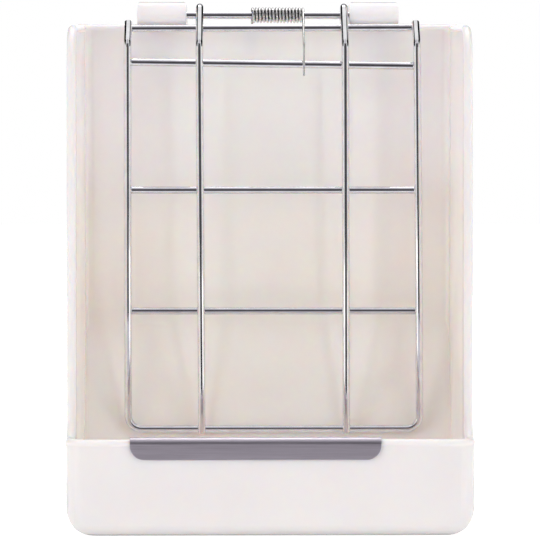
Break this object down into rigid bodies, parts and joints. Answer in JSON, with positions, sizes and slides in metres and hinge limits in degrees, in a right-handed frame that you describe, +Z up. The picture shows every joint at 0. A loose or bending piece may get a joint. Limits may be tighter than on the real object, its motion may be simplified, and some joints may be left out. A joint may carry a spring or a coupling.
{
  "type": "hay feeder box",
  "caption": "Open-fronted moulded hay box with a feeding tray, hanger lugs at the back, and a sprung wire grille that swings forward on an axle.",
  "frame": {"origin": "on the floor plane, below the middle of the whole part's bounding box", "axes": "+X to the viewer's right, +Y from the tray towards the back wall and the hooks, +Z up"},
  "size_m": [0.1756, 0.1182, 0.2322],
  "materials": {
    "shell": "smooth gloss, warm white",
    "guard": "satin, folded sheet",
    "plated_wire": "bright plated",
    "spring_wire": "bright plated"
  },
  "bodies": {
    "feeder_box": {"body_shell": "shell", "bite_guard": "guard", "axle_rod": "plated_wire", "torsion_spring": "spring_wire"},
    "grille": {"outer_frame_wire": "plated_wire", "inner_wire_left": "plated_wire", "inner_wire_right": "plated_wire", "crossbar_1": "plated_wire", "crossbar_2": "plated_wire", "crossbar_3": "plated_wire", "crossbar_4": "plated_wire"}
  },
  "joints": [
    {"name": "grille_pivot", "type": "hinge", "parent": "feeder_box", "child": "grille", "pos_m": [0, 0.0376, 0.2261], "axis": [-1, 0, 0], "range_deg": [0, 100], "stiffness_Nm_per_rad": 0.05, "springref_deg": -28.65, "deforming": ["torsion_spring"]}
  ]
}
